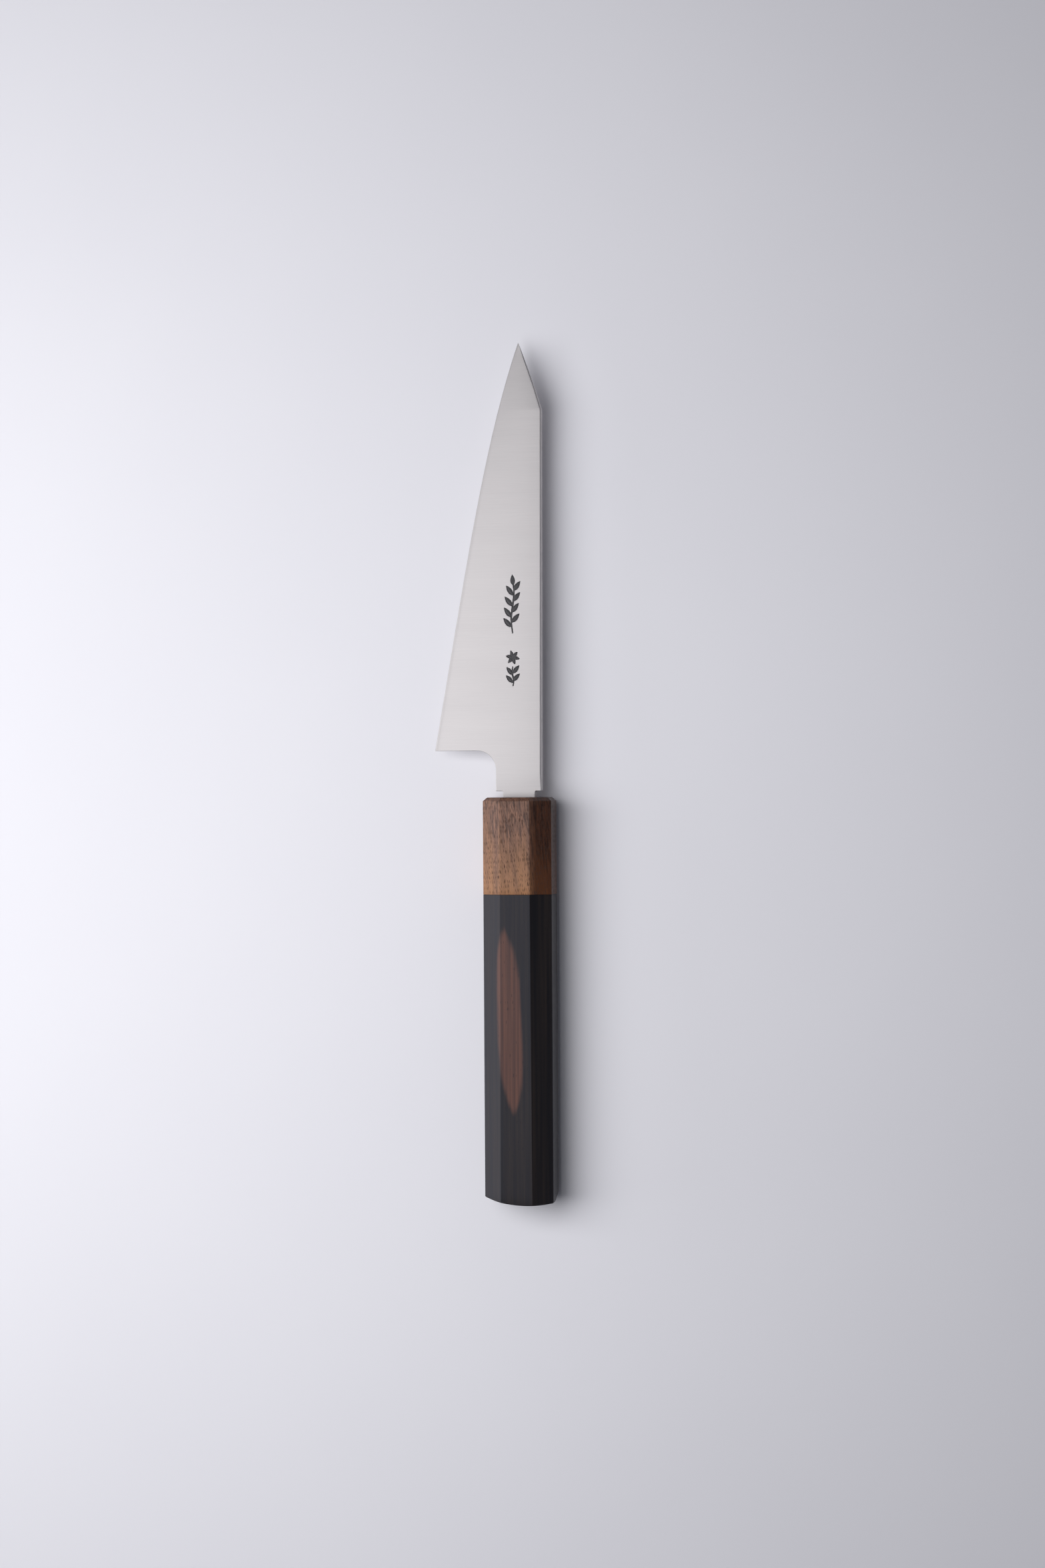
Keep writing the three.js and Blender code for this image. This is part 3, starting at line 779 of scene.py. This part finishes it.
def figured_wood(name, dark, light, warm, pore, warmth, spine_painted_shade, pore_size, slant, gloss):
    """Oiled wood: long soft tones along the grain from dark to light, a warmer colour that grows
    by the given warmth towards the ferrule's rear and the edge's side, painted shade darkening
    the spine's side by its given amount, and short open pores up to pore_size of their place."""
    wood = bpy.data.materials.new(name)
    wood.use_nodes = True
    nodes = wood.node_tree.nodes
    links = wood.node_tree.links
    nodes.clear()

    grain_frame = nodes.new("NodeFrame")
    grain_frame.label = "tones along the grain"
    warm_frame = nodes.new("NodeFrame")
    warm_frame.label = "warmer wood towards the rear, and painted shade on the spine's side"
    pore_frame = nodes.new("NodeFrame")
    pore_frame.label = "open pores"

    output = nodes.new("ShaderNodeOutputMaterial")
    output.label = "wood surface"
    output.location = (1900, 0)
    shader = nodes.new("ShaderNodeBsdfPrincipled")
    shader.label = "oiled wood"
    shader.location = (1600, 0)
    shader.inputs["Specular IOR Level"].default_value = 0.5
    place = nodes.new("ShaderNodeTexCoord")
    place.label = "place in the wood"
    place.location = (-1400, 0)
    lean = nodes.new("ShaderNodeMapping")
    lean.label = "grain leaning a few degrees off the handle's length"
    lean.location = (-1200, 0)
    lean.inputs["Rotation"].default_value = (0, 0.03, slant)

    stretch = nodes.new("ShaderNodeMapping")
    stretch.label = "long along the grain, fine across it"
    stretch.location = (-950, 350)
    stretch.parent = grain_frame
    stretch.inputs["Scale"].default_value = (170, 1400, 1400)
    grain = nodes.new("ShaderNodeTexNoise")
    grain.label = "grain"
    grain.location = (-700, 350)
    grain.parent = grain_frame
    grain.inputs["Scale"].default_value = 1.0
    grain.inputs["Detail"].default_value = 6
    grain.inputs["Roughness"].default_value = 0.62
    grain.inputs["Distortion"].default_value = 0.6
    tones = nodes.new("ShaderNodeValToRGB")
    tones.label = "dark and light bands"
    tones.location = (-450, 350)
    tones.parent = grain_frame
    tones.color_ramp.elements[0].position = 0.38
    tones.color_ramp.elements[0].color = (*dark, 1)
    tones.color_ramp.elements[1].position = 0.62
    tones.color_ramp.elements[1].color = (*light, 1)

    split = nodes.new("ShaderNodeSeparateXYZ")
    split.label = "distance along the handle"
    split.location = (-950, 0)
    split.parent = warm_frame
    rear = nodes.new("ShaderNodeMapRange")
    rear.label = "from the front wall back to the rear joint"
    rear.location = (-700, 0)
    rear.parent = warm_frame
    rear.inputs["From Min"].default_value = 82 * MM
    rear.inputs["From Max"].default_value = 57 * MM
    rear.inputs["To Min"].default_value = -0.15
    rear.inputs["To Max"].default_value = warmth
    broad = nodes.new("ShaderNodeMapping")
    broad.label = "broad streaks"
    broad.location = (-950, -200)
    broad.parent = warm_frame
    broad.inputs["Location"].default_value = (0.3, 0.1, 0.7)
    broad.inputs["Scale"].default_value = (28, 330, 330)
    streaks = nodes.new("ShaderNodeTexNoise")
    streaks.label = "where the warm streaks lie"
    streaks.location = (-700, -200)
    streaks.parent = warm_frame
    streaks.inputs["Scale"].default_value = 1.0
    streaks.inputs["Detail"].default_value = 4
    gather = nodes.new("ShaderNodeMath")
    gather.label = "streaks and distance together"
    gather.location = (-450, -100)
    gather.parent = warm_frame
    gather.operation = "ADD"
    edge_side = nodes.new("ShaderNodeMapRange")
    edge_side.label = "towards the edge's side"
    edge_side.location = (-700, 150)
    edge_side.parent = warm_frame
    edge_side.inputs["From Min"].default_value = 7 * MM
    edge_side.inputs["From Max"].default_value = 12.5 * MM
    edge_side.inputs["To Max"].default_value = warmth * 0.8
    gather_side = nodes.new("ShaderNodeMath")
    gather_side.label = "and the edge's side"
    gather_side.location = (-450, 80)
    gather_side.parent = warm_frame
    gather_side.operation = "ADD"
    # Painted shade: the spine's side, turned away from the lights, has its colour multiplied
    # darker
    spine_side = nodes.new("ShaderNodeMapRange")
    spine_side.label = "towards the spine's side"
    spine_side.location = (300, 450)
    spine_side.parent = warm_frame
    spine_side.inputs["From Min"].default_value = -4.5 * MM
    spine_side.inputs["From Max"].default_value = -7.5 * MM
    spine_side.inputs["To Max"].default_value = spine_painted_shade
    spine_painted_shade_mix = nodes.new("ShaderNodeMix")
    spine_painted_shade_mix.label = "painted shade on the spine's side"
    spine_painted_shade_mix.location = (500, 250)
    spine_painted_shade_mix.parent = warm_frame
    spine_painted_shade_mix.data_type = "RGBA"
    spine_painted_shade_mix.blend_type = "MULTIPLY"
    spine_painted_shade_mix.inputs["B"].default_value = (0.29, 0.185, 0.10, 1)
    share = nodes.new("ShaderNodeMapRange")
    share.label = "share of the warm colour"
    share.location = (-200, -100)
    share.parent = warm_frame
    share.inputs["From Min"].default_value = 0.42
    share.inputs["From Max"].default_value = 1.0
    share.inputs["To Max"].default_value = 0.78
    warmer = nodes.new("ShaderNodeMix")
    warmer.label = "warm streaks over the grain"
    warmer.location = (100, 200)
    warmer.parent = warm_frame
    warmer.data_type = "RGBA"
    warmer.inputs["B"].default_value = (*warm, 1)

    dashes = nodes.new("ShaderNodeMapping")
    dashes.label = "a pore is about a millimetre long and a tenth wide"
    dashes.location = (-950, -500)
    dashes.parent = pore_frame
    dashes.inputs["Scale"].default_value = (560, 4300, 4300)
    cells = nodes.new("ShaderNodeTexVoronoi")
    cells.label = "one place for each pore"
    cells.location = (-700, -500)
    cells.parent = pore_frame
    cells.inputs["Scale"].default_value = 1.0
    chance = nodes.new("ShaderNodeSeparateColor")
    chance.label = "each place's own chance"
    chance.location = (-450, -650)
    chance.parent = pore_frame
    width = nodes.new("ShaderNodeMapRange")
    width.label = "how large this pore is"
    width.location = (-200, -650)
    width.parent = pore_frame
    width.inputs["To Min"].default_value = -0.06
    width.inputs["To Max"].default_value = pore_size
    inside = nodes.new("ShaderNodeMath")
    inside.label = "inside the pore"
    inside.location = (50, -500)
    inside.parent = pore_frame
    inside.operation = "SUBTRACT"
    soft = nodes.new("ShaderNodeMapRange")
    soft.label = "soft rim of the pore"
    soft.location = (300, -500)
    soft.parent = pore_frame
    soft.inputs["From Min"].default_value = -0.12
    soft.inputs["From Max"].default_value = 0.16
    darken = nodes.new("ShaderNodeMix")
    darken.label = "dark in the pores"
    darken.location = (900, 100)
    darken.parent = pore_frame
    darken.data_type = "RGBA"
    darken.inputs["B"].default_value = (*pore, 1)
    rough = nodes.new("ShaderNodeMapRange")
    rough.label = "duller in the pores"
    rough.location = (900, -200)
    rough.inputs["To Min"].default_value = gloss
    rough.inputs["To Max"].default_value = 0.75
    height = nodes.new("ShaderNodeMath")
    height.label = "pores cut down from the grain's relief"
    height.location = (900, -500)
    height.operation = "SUBTRACT"
    bump = nodes.new("ShaderNodeBump")
    bump.label = "depth of pores and grain"
    bump.location = (1200, -500)
    bump.inputs["Strength"].default_value = 0.35
    bump.inputs["Distance"].default_value = 0.05 * MM

    links.new(place.outputs["Object"], lean.inputs["Vector"])
    links.new(lean.outputs["Vector"], stretch.inputs["Vector"])
    links.new(stretch.outputs["Vector"], grain.inputs["Vector"])
    links.new(grain.outputs["Fac"], tones.inputs["Fac"])
    links.new(place.outputs["Object"], split.inputs["Vector"])
    links.new(split.outputs["X"], rear.inputs["Value"])
    links.new(lean.outputs["Vector"], broad.inputs["Vector"])
    links.new(broad.outputs["Vector"], streaks.inputs["Vector"])
    links.new(streaks.outputs["Fac"], gather.inputs[0])
    links.new(rear.outputs["Result"], gather.inputs[1])
    links.new(split.outputs["Y"], edge_side.inputs["Value"])
    links.new(gather.outputs["Value"], gather_side.inputs[0])
    links.new(edge_side.outputs["Result"], gather_side.inputs[1])
    links.new(gather_side.outputs["Value"], share.inputs["Value"])
    links.new(split.outputs["Y"], spine_side.inputs["Value"])
    links.new(warmer.outputs["Result"], spine_painted_shade_mix.inputs["A"])
    links.new(spine_side.outputs["Result"], spine_painted_shade_mix.inputs["Factor"])
    links.new(tones.outputs["Color"], warmer.inputs["A"])
    links.new(share.outputs["Result"], warmer.inputs["Factor"])
    links.new(lean.outputs["Vector"], dashes.inputs["Vector"])
    links.new(dashes.outputs["Vector"], cells.inputs["Vector"])
    links.new(cells.outputs["Color"], chance.inputs["Color"])
    links.new(chance.outputs["Red"], width.inputs["Value"])
    links.new(width.outputs["Result"], inside.inputs[0])
    links.new(cells.outputs["Distance"], inside.inputs[1])
    links.new(inside.outputs["Value"], soft.inputs["Value"])
    links.new(spine_painted_shade_mix.outputs["Result"], darken.inputs["A"])
    links.new(soft.outputs["Result"], darken.inputs["Factor"])
    links.new(darken.outputs["Result"], shader.inputs["Base Color"])
    links.new(soft.outputs["Result"], rough.inputs["Value"])
    links.new(rough.outputs["Result"], shader.inputs["Roughness"])
    links.new(grain.outputs["Fac"], height.inputs[0])
    links.new(soft.outputs["Result"], height.inputs[1])
    links.new(height.outputs["Value"], bump.inputs["Height"])
    links.new(bump.outputs["Normal"], shader.inputs["Normal"])
    links.new(shader.outputs["BSDF"], output.inputs["Surface"])
    return wood


# Painted shade darkens the ferrule's bevels and side facet on the spine's side
walnut = figured_wood("oiled_walnut", dark=(0.066, 0.030, 0.019), light=(0.235, 0.112, 0.067),
                      warm=(0.375, 0.174, 0.070), pore=(0.058, 0.028, 0.017), warmth=0.32,
                      spine_painted_shade=0.95, pore_size=0.50, slant=np.radians(-5), gloss=0.42)
ferrule.data.materials.append(walnut)
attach(ferrule, "root")
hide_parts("ferrule")

# ---- Handle body ----
# The long octagonal grip, cut from ebony with one streak of brown wood in it, bored for the
# dowel and glued on it against the ferrule. Its butt is gently domed and its lower rim eased.

BODY_FRONT_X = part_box("handle_body")[1].x / MM
BUTT_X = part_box("handle_body")[0].x / MM
BUTT_DOME_RADIUS = 46.0
BUTT_CROWN_Y = -3.8
BUTT_CROWN_Z = 16.0 - AXIS_Z
BUTT_BROAD_HALF = 5.75
RIM_RADIUS_ABOVE = 0.3
RIM_RADIUS_BELOW = 2.4
RIM_CHANGES_Z = (-6, 3)
DOME_SHRINKS = (0.04, 0.97)
BROAD_HALF_AT_JOINT = BROAD_FACET_HALF - 0.05
FRONT_FACE_SHRINK = 0.85
BORE_END_X = -6.8
BORE_END_SHRINK = 0.5


def body_rings():
    """The body's rings: from the crown of the butt's dome outwards, each a smaller copy of the
    outline laid on the dome, then over the rim's quarter circle, forward along the facets, in
    over the front face to the bore, and back down the bore to its floor."""
    outline = octagon([0.0], [BUTT_BROAD_HALF])[0]
    reach = np.hypot(*outline.T)
    above = x_ramp(outline[:, 1], *RIM_CHANGES_Z)
    rim = RIM_RADIUS_BELOW + (RIM_RADIUS_ABOVE - RIM_RADIUS_BELOW) * above

    def on_dome(points):
        """The dome's x at each (y, z): the crown's plus a parabola of the distance from it."""
        aside = (points[..., 0] - BUTT_CROWN_Y) ** 2 + (points[..., 1] - BUTT_CROWN_Z) ** 2
        return BUTT_X + aside / (2 * BUTT_DOME_RADIUS)

    inner = outline * (1 - rim / reach)[:, None]
    dome = inner * np.linspace(*DOME_SHRINKS, 20)[:, None, None]
    turn = np.radians(np.linspace(90, 0, 9))[:, None]
    over_rim = outline * (1 - rim * (1 - np.cos(turn)) / reach)[..., None]
    rim_x = on_dome(over_rim) + rim * (1 - np.sin(turn))
    forward = np.linspace(0, 1, 36)[1:, None]
    front_x = BODY_FRONT_X - 0.3 * JOINT_EASE
    body_x = rim_x[-1] + (front_x - rim_x[-1]) * forward
    body_half = BUTT_BROAD_HALF + (BROAD_HALF_AT_JOINT - BUTT_BROAD_HALF) * forward[:, 0]
    body = octagon(np.zeros(len(forward)), body_half)
    eased = body[-1] * (1 - JOINT_EASE / reach)[:, None]
    bore = bored(outline, BORE_RADIUS)
    inward = [at_x(eased, BODY_FRONT_X), at_x(eased * FRONT_FACE_SHRINK, BODY_FRONT_X),
              at_x(bore, BODY_FRONT_X)]
    inward += [at_x(bore, place) for place in np.linspace(BODY_FRONT_X - 4, BORE_END_X, 12)]
    inward += [at_x(bore * BORE_END_SHRINK, BORE_END_X)]
    return np.concatenate([at_x(dome, on_dome(dome)), at_x(over_rim, rim_x),
                           at_x(body, body_x), np.stack(inward)])


body = skinned("ebony_handle_body", body_rings(), sharp_degrees=32)

ebony = bpy.data.materials.new("ebony_with_heartwood")
ebony.use_nodes = True
nodes = ebony.node_tree.nodes
links = ebony.node_tree.links
nodes.clear()

black_frame = nodes.new("NodeFrame")
black_frame.label = "nearly black wood with faint brown lines"
heart_frame = nodes.new("NodeFrame")
heart_frame.label = "the streak of brown heartwood"
fine_frame = nodes.new("NodeFrame")
fine_frame.label = "fine grain and pores"

output = nodes.new("ShaderNodeOutputMaterial")
output.label = "handle surface"
output.location = (1900, 0)
shader = nodes.new("ShaderNodeBsdfPrincipled")
shader.label = "ebony rubbed smooth"
shader.location = (1600, 0)
shader.inputs["Specular IOR Level"].default_value = 0.5
# Painted reflection colour: the bluish specular tint stands in for the bluish light mirrored in
# the facets' sheen
shader.inputs["Specular Tint"].default_value = (0.86, 0.87, 1.0, 1)
place = nodes.new("ShaderNodeTexCoord")
place.label = "place in the wood"
place.location = (-1500, 0)

long_lines = nodes.new("ShaderNodeMapping")
long_lines.label = "lines run the length of the handle"
long_lines.location = (-1200, 400)
long_lines.parent = black_frame
long_lines.inputs["Scale"].default_value = (14, 900, 900)
lines = nodes.new("ShaderNodeTexNoise")
lines.label = "growth lines"
lines.location = (-950, 400)
lines.parent = black_frame
lines.inputs["Scale"].default_value = 1.0
lines.inputs["Detail"].default_value = 6
lines.inputs["Roughness"].default_value = 0.6
blacks = nodes.new("ShaderNodeValToRGB")
blacks.label = "black to very dark brown"
blacks.location = (-700, 400)
blacks.parent = black_frame
blacks.color_ramp.elements[0].position = 0.42
blacks.color_ramp.elements[0].color = (0.0068, 0.0060, 0.0064, 1)
blacks.color_ramp.elements[1].position = 0.74
blacks.color_ramp.elements[1].color = (0.0240, 0.0165, 0.0120, 1)

heart_place = nodes.new("ShaderNodeMapping")
heart_place.label = "the streak's middle, lean and half sizes"
heart_place.location = (-1200, -100)
heart_place.parent = heart_frame
heart_place.vector_type = "TEXTURE"
heart_place.inputs["Location"].default_value = (10.0 * MM, 2.4 * MM, 20 * MM)
heart_place.inputs["Rotation"].default_value = (0, 0, np.radians(2.6))
heart_place.inputs["Scale"].default_value = (32.6 * MM, 4.3 * MM, 6.0 * MM)
heart_split = nodes.new("ShaderNodeSeparateXYZ")
heart_split.label = "along and across the streak"
heart_split.location = (-950, -100)
heart_split.parent = heart_frame
heart_length = nodes.new("ShaderNodeMath")
heart_length.label = "size of the distance along"
heart_length.location = (-750, 0)
heart_length.parent = heart_frame
heart_length.operation = "ABSOLUTE"
heart_taper = nodes.new("ShaderNodeMath")
heart_taper.label = "taper to soft points"
heart_taper.location = (-550, 0)
heart_taper.parent = heart_frame
heart_taper.operation = "POWER"
heart_taper.inputs[1].default_value = 3.8
heart_across = nodes.new("ShaderNodeCombineXYZ")
heart_across.label = "only across the streak"
heart_across.location = (-750, -200)
heart_across.parent = heart_frame
heart_width = nodes.new("ShaderNodeVectorMath")
heart_width.label = "distance across"
heart_width.location = (-550, -200)
heart_width.parent = heart_frame
heart_width.operation = "LENGTH"
heart_round = nodes.new("ShaderNodeMath")
heart_round.label = "rounds the soft points"
heart_round.location = (-350, -260)
heart_round.parent = heart_frame
heart_round.operation = "POWER"
heart_round.inputs[1].default_value = 1.25
heart_sum = nodes.new("ShaderNodeMath")
heart_sum.label = "one at the streak's outline"
heart_sum.location = (-200, -60)
heart_sum.parent = heart_frame
heart_sum.operation = "ADD"
wander_place = nodes.new("ShaderNodeMapping")
wander_place.label = "outline wanders slowly along the grain"
wander_place.location = (-750, -420)
wander_place.parent = heart_frame
wander_place.inputs["Scale"].default_value = (60, 420, 420)
wander = nodes.new("ShaderNodeTexNoise")
wander.label = "ragged outline"
wander.location = (-550, -420)
wander.parent = heart_frame
wander.inputs["Scale"].default_value = 1.0
wander.inputs["Detail"].default_value = 4
wander_size = nodes.new("ShaderNodeMath")
wander_size.label = "how ragged"
wander_size.location = (-350, -420)
wander_size.parent = heart_frame
wander_size.operation = "MULTIPLY_ADD"
wander_size.inputs[1].default_value = 0.56
wander_size.inputs[2].default_value = -0.28
heart_edge = nodes.new("ShaderNodeMath")
heart_edge.label = "ragged distance"
heart_edge.location = (-100, -260)
heart_edge.parent = heart_frame
heart_edge.operation = "ADD"
heart_share = nodes.new("ShaderNodeMapRange")
heart_share.label = "feathered into the black"
heart_share.location = (50, -200)
heart_share.parent = heart_frame
heart_share.interpolation_type = "SMOOTHSTEP"
heart_share.inputs["From Min"].default_value = 1.25
heart_share.inputs["From Max"].default_value = 0.75
heart_tones = nodes.new("ShaderNodeValToRGB")
heart_tones.label = "brown heartwood tones"
heart_tones.location = (-150, 200)
heart_tones.parent = heart_frame
heart_tones.color_ramp.elements[0].position = 0.3
heart_tones.color_ramp.elements[0].color = (0.044, 0.0180, 0.0110, 1)
heart_tones.color_ramp.elements[1].position = 0.72
heart_tones.color_ramp.elements[1].color = (0.135, 0.0540, 0.0290, 1)
wood = nodes.new("ShaderNodeMix")
wood.label = "heartwood in the black"
wood.location = (350, 200)
wood.data_type = "RGBA"

dashes = nodes.new("ShaderNodeMapping")
dashes.label = "pores are a millimetre long and a tenth wide"
dashes.location = (-1200, -700)
dashes.parent = fine_frame
dashes.inputs["Scale"].default_value = (420, 3600, 3600)
cells = nodes.new("ShaderNodeTexVoronoi")
cells.label = "one place for each pore"
cells.location = (-950, -700)
cells.parent = fine_frame
cells.inputs["Scale"].default_value = 1.0
chance = nodes.new("ShaderNodeSeparateColor")
chance.label = "each place's own chance"
chance.location = (-750, -800)
chance.parent = fine_frame
pore_size = nodes.new("ShaderNodeMapRange")
pore_size.label = "a few places have a pore"
pore_size.location = (-550, -800)
pore_size.parent = fine_frame
pore_size.inputs["From Min"].default_value = 0.80
pore_size.inputs["From Max"].default_value = 1.0
pore_size.inputs["To Max"].default_value = 0.35
inside = nodes.new("ShaderNodeMath")
inside.label = "inside the pore"
inside.location = (-350, -700)
inside.parent = fine_frame
inside.operation = "SUBTRACT"
soft = nodes.new("ShaderNodeMapRange")
soft.label = "soft rim of the pore"
soft.location = (-150, -700)
soft.parent = fine_frame
soft.inputs["From Min"].default_value = -0.05
soft.inputs["From Max"].default_value = 0.10
darken = nodes.new("ShaderNodeMix")
darken.label = "dark in the pores"
darken.location = (900, 200)
darken.data_type = "RGBA"
darken.inputs["B"].default_value = (0.004, 0.003, 0.003, 1)
rough = nodes.new("ShaderNodeMapRange")
rough.label = "sheen changes with the grain"
rough.location = (900, -150)
rough.inputs["To Min"].default_value = 0.36
rough.inputs["To Max"].default_value = 0.46
height = nodes.new("ShaderNodeMath")
height.label = "pores cut down from the grain's relief"
height.location = (900, -500)
height.operation = "SUBTRACT"
bump = nodes.new("ShaderNodeBump")
bump.label = "depth of pores and grain"
bump.location = (1200, -500)
bump.inputs["Strength"].default_value = 0.22
bump.inputs["Distance"].default_value = 0.03 * MM

links.new(place.outputs["Object"], long_lines.inputs["Vector"])
links.new(long_lines.outputs["Vector"], lines.inputs["Vector"])
links.new(lines.outputs["Fac"], blacks.inputs["Fac"])
links.new(lines.outputs["Fac"], heart_tones.inputs["Fac"])
links.new(place.outputs["Object"], heart_place.inputs["Vector"])
links.new(heart_place.outputs["Vector"], heart_split.inputs["Vector"])
links.new(heart_split.outputs["X"], heart_length.inputs[0])
links.new(heart_length.outputs["Value"], heart_taper.inputs[0])
links.new(heart_split.outputs["Y"], heart_across.inputs["Y"])
links.new(heart_split.outputs["Z"], heart_across.inputs["Z"])
links.new(heart_across.outputs["Vector"], heart_width.inputs[0])
links.new(heart_taper.outputs["Value"], heart_sum.inputs[0])
links.new(heart_width.outputs["Value"], heart_round.inputs[0])
links.new(heart_round.outputs["Value"], heart_sum.inputs[1])
links.new(place.outputs["Object"], wander_place.inputs["Vector"])
links.new(wander_place.outputs["Vector"], wander.inputs["Vector"])
links.new(wander.outputs["Fac"], wander_size.inputs[0])
links.new(heart_sum.outputs["Value"], heart_edge.inputs[0])
links.new(wander_size.outputs["Value"], heart_edge.inputs[1])
links.new(heart_edge.outputs["Value"], heart_share.inputs["Value"])
links.new(blacks.outputs["Color"], wood.inputs["A"])
links.new(heart_tones.outputs["Color"], wood.inputs["B"])
links.new(heart_share.outputs["Result"], wood.inputs["Factor"])
links.new(place.outputs["Object"], dashes.inputs["Vector"])
links.new(dashes.outputs["Vector"], cells.inputs["Vector"])
links.new(cells.outputs["Color"], chance.inputs["Color"])
links.new(chance.outputs["Red"], pore_size.inputs["Value"])
links.new(pore_size.outputs["Result"], inside.inputs[0])
links.new(cells.outputs["Distance"], inside.inputs[1])
links.new(inside.outputs["Value"], soft.inputs["Value"])
links.new(wood.outputs["Result"], darken.inputs["A"])
links.new(soft.outputs["Result"], darken.inputs["Factor"])
links.new(darken.outputs["Result"], shader.inputs["Base Color"])
links.new(lines.outputs["Fac"], rough.inputs["Value"])
links.new(rough.outputs["Result"], shader.inputs["Roughness"])
links.new(lines.outputs["Fac"], height.inputs[0])
links.new(soft.outputs["Result"], height.inputs[1])
links.new(height.outputs["Value"], bump.inputs["Height"])
links.new(bump.outputs["Normal"], shader.inputs["Normal"])
links.new(shader.outputs["BSDF"], output.inputs["Surface"])

body.data.materials.append(ebony)
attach(body, "root")
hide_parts("handle_body")

# ---- Dowel ----
# A turned rod of pale straight-grained wood, slotted for the tang. It joins the ferrule to the
# body from inside, so it shows only where the parts are taken apart.

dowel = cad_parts["dowel"]
dowel_wood = figured_wood("plain_dowel_wood", dark=(0.46, 0.33, 0.20), light=(0.60, 0.46, 0.30),
                          warm=(0.58, 0.42, 0.26), pore=(0.26, 0.17, 0.10), warmth=0.0,
                          spine_painted_shade=0.0, pore_size=0.2, slant=0.0, gloss=0.55)
for material_slot in dowel.material_slots:
    material_slot.material = dowel_wood

# ---- Tang resin ----
# Hard resin, poured warm into the dowel's slot round the tang, that sets and holds the blade.

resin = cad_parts["tang_resin"]
amber = bpy.data.materials.new("set_resin")
amber.use_nodes = True
nodes = amber.node_tree.nodes
links = amber.node_tree.links
nodes.clear()

output = nodes.new("ShaderNodeOutputMaterial")
output.label = "resin surface"
output.location = (800, 0)
shader = nodes.new("ShaderNodeBsdfPrincipled")
shader.label = "hard amber resin"
shader.location = (500, 0)
shader.inputs["Roughness"].default_value = 0.25
place = nodes.new("ShaderNodeTexCoord")
place.label = "place in the resin"
place.location = (-600, 0)
swirl = nodes.new("ShaderNodeTexNoise")
swirl.label = "swirls from pouring"
swirl.location = (-350, 0)
swirl.inputs["Scale"].default_value = 180
swirl.inputs["Detail"].default_value = 4
swirl.inputs["Distortion"].default_value = 1.2
tones = nodes.new("ShaderNodeValToRGB")
tones.label = "dark to light amber"
tones.location = (-100, 100)
tones.color_ramp.elements[0].position = 0.3
tones.color_ramp.elements[0].color = (0.10, 0.045, 0.012, 1)
tones.color_ramp.elements[1].position = 0.66
tones.color_ramp.elements[1].color = (0.30, 0.15, 0.045, 1)
bump = nodes.new("ShaderNodeBump")
bump.label = "slightly uneven set surface"
bump.location = (200, -250)
bump.inputs["Strength"].default_value = 0.2
bump.inputs["Distance"].default_value = 0.1 * MM

links.new(place.outputs["Object"], swirl.inputs["Vector"])
links.new(swirl.outputs["Fac"], tones.inputs["Fac"])
links.new(tones.outputs["Color"], shader.inputs["Base Color"])
links.new(swirl.outputs["Fac"], bump.inputs["Height"])
links.new(bump.outputs["Normal"], shader.inputs["Normal"])
links.new(shader.outputs["BSDF"], output.inputs["Surface"])
for material_slot in resin.material_slots:
    material_slot.material = amber
